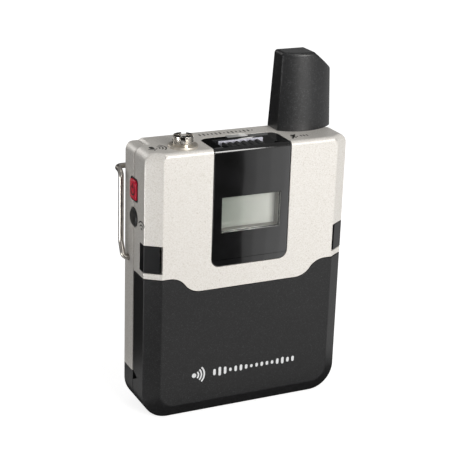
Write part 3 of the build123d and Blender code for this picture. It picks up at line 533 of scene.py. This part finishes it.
BARREL_EDGE, NUT_EDGE = 0.08 * MM, 0.1 * MM
nickel = plated("bright_nickel", (0.74, 0.70, 0.64))
satin_nickel = plated("satin_nickel", (0.80, 0.75, 0.67), 0.40)
softened("barrel", "jack_barrel", "housing", BARREL_EDGE, nickel)
softened("ring_nut", "jack_nut", "housing", NUT_EDGE, satin_nickel)

barrel_low, barrel_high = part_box("jack_barrel")
nut_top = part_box("jack_nut")[1].z
barrel_axis = (barrel_low + barrel_high) / 2
barrel_r = (barrel_high.x - barrel_low.x) / 2
THREAD_PITCH = 0.45 * MM
THREAD_OUT = 0.16 * MM
THREAD_FOOT = 0.05 * MM
THREAD_END = 0.25 * MM
PER_TURN = 72
KEY_TOP = 1.35 * MM
KEY_HALF = 0.85 * MM
KEY_TURN = radians(26.0)


def thread_ridge(name, low, high, axis, radius, pitch, body, material):
    """Ridge that winds up a barrel, broken where the key slots cross it."""
    work = bmesh.new()
    count = int((high - low) / pitch * PER_TURN)
    previous = None
    for index in range(count + 1):
        angle = 2 * pi * index / PER_TURN
        z = low + pitch * index / PER_TURN
        out = Vector((cos(angle), sin(angle), 0))
        from_slot = min(abs(cos(angle + KEY_TURN)), abs(sin(angle + KEY_TURN))) * radius
        in_slot = from_slot < KEY_HALF and z > high - KEY_TOP
        if in_slot:
            previous = None
            continue
        foot = Vector((axis.x, axis.y, z)) + out * (radius - THREAD_FOOT)
        half = Vector((0, 0, pitch * 0.4))
        profile = [foot - half, foot + out * (THREAD_OUT + THREAD_FOOT), foot + half]
        current = [work.verts.new(point) for point in profile]
        if previous:
            for side in range(3):
                other = (side + 1) % 3
                work.faces.new((previous[side], previous[other], current[other], current[side]))
        previous = current
    bmesh.ops.holes_fill(work, edges=work.edges, sides=3)
    bmesh.ops.recalc_face_normals(work, faces=work.faces)
    mesh = bpy.data.meshes.new(name)
    work.to_mesh(mesh)
    work.free()
    mesh.materials.append(material)
    piece = bpy.data.objects.new(name, mesh)
    bpy.context.collection.objects.link(piece)
    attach(piece, body)


thread_ridge("jack_thread", nut_top + THREAD_END, barrel_high.z - THREAD_END, barrel_axis, barrel_r,
             THREAD_PITCH, "housing", nickel)
dress("jack_body", moulded("jack_moulding", (0.02, 0.02, 0.02)))


# ---- antenna -------------------------------------------------------------------------------------
# Hollow charcoal blade with a bowed front, moulded with a slightly coarser grain than the cover. A
# circuit blade stands inside it.
def antenna_finish():
    """Charcoal with a fine leather-like grain."""
    plastic = Finish("antenna_plastic", Specular_IOR_Level=0.45)
    grain = plastic.grains(0.34 * MM)
    cloud = plastic.noise(0.5 * MM, 3.0, 0.6)
    plastic.drive("Base Color", plastic.steps(
        grain, (0.0, (0.009, 0.009, 0.0095)), (0.85, (0.014, 0.0145, 0.0155)),
        (1.0, (0.030, 0.031, 0.033))))
    plastic.drive("Roughness", 0.28 + cloud * 0.16)
    plastic.relief(grain * 0.6 + cloud, 0.3, 0.04 * MM)
    return plastic.material


ANTENNA_EDGE, ANTENNA_SHARP = 0.15 * MM, 40.0
softened("antenna_cover", "antenna_cap", "housing", ANTENNA_EDGE, antenna_finish(),
         ANTENNA_SHARP)

# ---- buttons -------------------------------------------------------------------------------------
# Red power key in a dark frame and a black domed pairing key below it, both on the left side over
# the joint of the shells. They are pressed inwards against small switches.
red = moulded("red_key", (0.70, 0.012, 0.045), 0.33, 0.5 * MM, 0.12, 0.2)
soft_black = moulded("soft_black", (0.014, 0.014, 0.015), 0.45, 0.3 * MM, 0.15)
BUTTON_EDGE, FRAME_EDGE = 0.1 * MM, 0.08 * MM
softened("power_key", "power_button", "power_button", BUTTON_EDGE, red)
softened("pair_key", "pair_button", "pair_button", BUTTON_EDGE, soft_black)
softened("power_frame", "button_bezel", "housing", FRAME_EDGE, soft_black)

key_low, key_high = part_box("power_button")
key_middle = (key_low + key_high) / 2
dark_ink = ink_finish("dark_ink", (0.035, 0.033, 0.03))
STROKE = 0.55
standby = [arc_band((0, -0.2), 1.5, STROKE, 125, 415), pill(0, 0.3, 2.1, STROKE)]
printed("standby_sign", standby, Vector((key_low.x, key_middle.y, key_middle.z)), (0, -1, 0), (0, 0, 1),
        "power_button", dark_ink)

# ---- printed signs on the housing ----------------------------------------------------------------
# Small dark pad-printed signs: a microphone by the jack, a struck-out microphone by the mute
# slide, a row of level bars behind the panel and three waves beside the pairing key.
def microphone(x, y, size):
    """Outlines of a plain microphone sign."""
    return [pill(x, y - 0.1 * size, y + 1.0 * size, 0.62 * size),
            arc_band((x, y + 0.28 * size), 0.62 * size, 0.16 * size, 200, 340),
            pill(x, y - 0.78 * size, y - 0.26 * size, 0.16 * size)]


top = Vector((0, 0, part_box("front_shell")[1].z))
jack_marks = microphone(-31.6, -3.6, 2.4)
jack_marks += [arc_band((-30.6, -2.9), 1.5 + ring, 0.42, -50, 50) for ring in range(3)]
printed("jack_sign", jack_marks, top, (1, 0, 0), (0, 1, 0), "housing", dark_ink)
strike = [(15.2, -7.4), (15.7, -7.7), (18.6, -3.4), (18.1, -3.1)]
mute_marks = microphone(17.0, -5.6, 2.2) + [strike]
mute_marks += [pill(19.6 + 1.1 * step, -6.2, -4.6, 0.5) for step in range(3)]
printed("mute_sign", mute_marks, top, (1, 0, 0), (0, 1, 0), "housing", dark_ink)
LEVEL_X, LEVEL_Y, LEVEL_PITCH = -11.5, 5.9, 1.45
level = []
for index in range(14):
    half = 0.4 + 0.7 * abs(sin(0.9 + index * 0.9))
    level.append(pill(LEVEL_X + LEVEL_PITCH * index, LEVEL_Y - half, LEVEL_Y + half, STROKE))
printed("level_marks", level, top, (1, 0, 0), (0, 1, 0), "housing", dark_ink)
side_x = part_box("front_shell")[0].x
waves = [arc_band((5.0, 66.0), 0.8 + 1.15 * ring, 0.42, 40, 140) for ring in range(3)]
printed("pair_sign", waves, Vector((side_x, 0, 0)), (0, -1, 0), (0, 0, 1), "housing", dark_ink)

# ---- catches -------------------------------------------------------------------------------------
# Satin black release keys that wrap over the bevel on both sides, each with a leaf spring behind
# it and a leg that reaches down to the pack's lug.
CATCH_EDGE = 0.16 * MM
for side in ("left", "right"):
    softened(f"release_{side}", f"catch_{side}", f"catch_{side}", CATCH_EDGE, satin_black)
    dress(f"catch_spring_{side}", nickel)

# ---- belt clip -----------------------------------------------------------------------------------
# One length of bright spring wire: its feet snap into the rear shell, its arms rise beside the
# housing, and its tongue hangs down the back to hold a belt.
wire_metal = plated("spring_wire", (0.50, 0.47, 0.43), 0.24)
dress("clip_frame", wire_metal)
dress("clip_tongue", wire_metal)

# ---- screws and contacts -------------------------------------------------------------------------
# Dark steel screws in the back, gold-flashed pads under the base cap and on the pack, and the
# sprung pins above them.
dress("housing_screws", plated("dark_steel", (0.30, 0.30, 0.31), 0.3))
gold = plated("gold_flash", (0.83, 0.60, 0.26), 0.22)
for node in ("charge_contacts", "bay_contacts", "pack_contacts"):
    dress(node, gold)

# ---- pack inside ---------------------------------------------------------------------------------
# Black tray that carries two round cells end to end with their contact plates and a small board.
# The cells have a plain two-tone sleeve and bare metal ends.
inner_black = moulded("inner_black", (0.022, 0.022, 0.023), 0.5)
TRAY_EDGE = 0.12 * MM
softened("tray", "pack_tray", "pack", TRAY_EDGE, inner_black)


CELL_METAL_FROM = 24.0


def cell_finish():
    """Dark green sleeve with a pale band towards each end, and metal at both ends."""
    sleeve = Finish("cell_sleeve")
    x = sleeve.along(0)
    reach = sleeve.add("ShaderNodeMath", {"operation": "ABSOLUTE"}, {0: x})[0]
    scuff = sleeve.noise(1.5 * MM, 3.0)
    sleeve.drive("Base Color", sleeve.steps(
        reach * 0.036 + scuff * 0.004, (0.0, (0.05, 0.16, 0.12)), (0.55, (0.05, 0.16, 0.12)),
        (0.56, (0.62, 0.63, 0.62)), (0.84, (0.62, 0.63, 0.62)), (0.87, (0.72, 0.72, 0.72))))
    sleeve.drive("Roughness", 0.28 + scuff * 0.2)
    metal_end = sleeve.add("ShaderNodeMath", {"operation": "GREATER_THAN"}, {
        0: reach, 1: CELL_METAL_FROM})[0]
    sleeve.drive("Metallic", metal_end * 0.9)
    return sleeve.material


cell_sleeve = cell_finish()
dress("cell_lower", cell_sleeve)
dress("cell_upper", cell_sleeve)
dress("cell_contacts", nickel)


def board_finish():
    """Green solder mask with paler tracks and a slight gloss."""
    board = Finish("solder_mask")
    tracks = board.add("ShaderNodeTexBrick", {"offset": 0.5, "squash": 1.4}, {
        "Vector": board.place(), "Scale": 260.0, "Mortar Size": 0.03,
        "Color1": (0.012, 0.085, 0.04, 1), "Color2": (0.015, 0.10, 0.048, 1),
        "Mortar": (0.03, 0.19, 0.09, 1)})
    board.drive("Base Color", tracks[0])
    board.drive("Roughness", 0.32 + board.noise(1.0 * MM) * 0.15)
    board.relief(tracks[1], 0.2, 0.02 * MM)
    return board.material


solder_mask = board_finish()
dress("pack_board", solder_mask)

# ---- housing inside ------------------------------------------------------------------------------
# Divider over the pack bay, upright main board with its chips and radio shield, the antenna's
# board and the three small switches.
DIVIDER_EDGE = 0.1 * MM
softened("divider", "bay_divider", "housing", DIVIDER_EDGE, inner_black)
dress("main_board", solder_mask)
dress("antenna_board", solder_mask)
dress("board_chips", moulded("chip_epoxy", (0.03, 0.03, 0.032), 0.5))
dress("rf_shield", plated("tinned_sheet", (0.68, 0.68, 0.67), 0.35))
for node in ("mute_switch", "power_switch", "pair_switch"):
    dress(node, moulded(f"{node}_body", (0.035, 0.035, 0.037)))
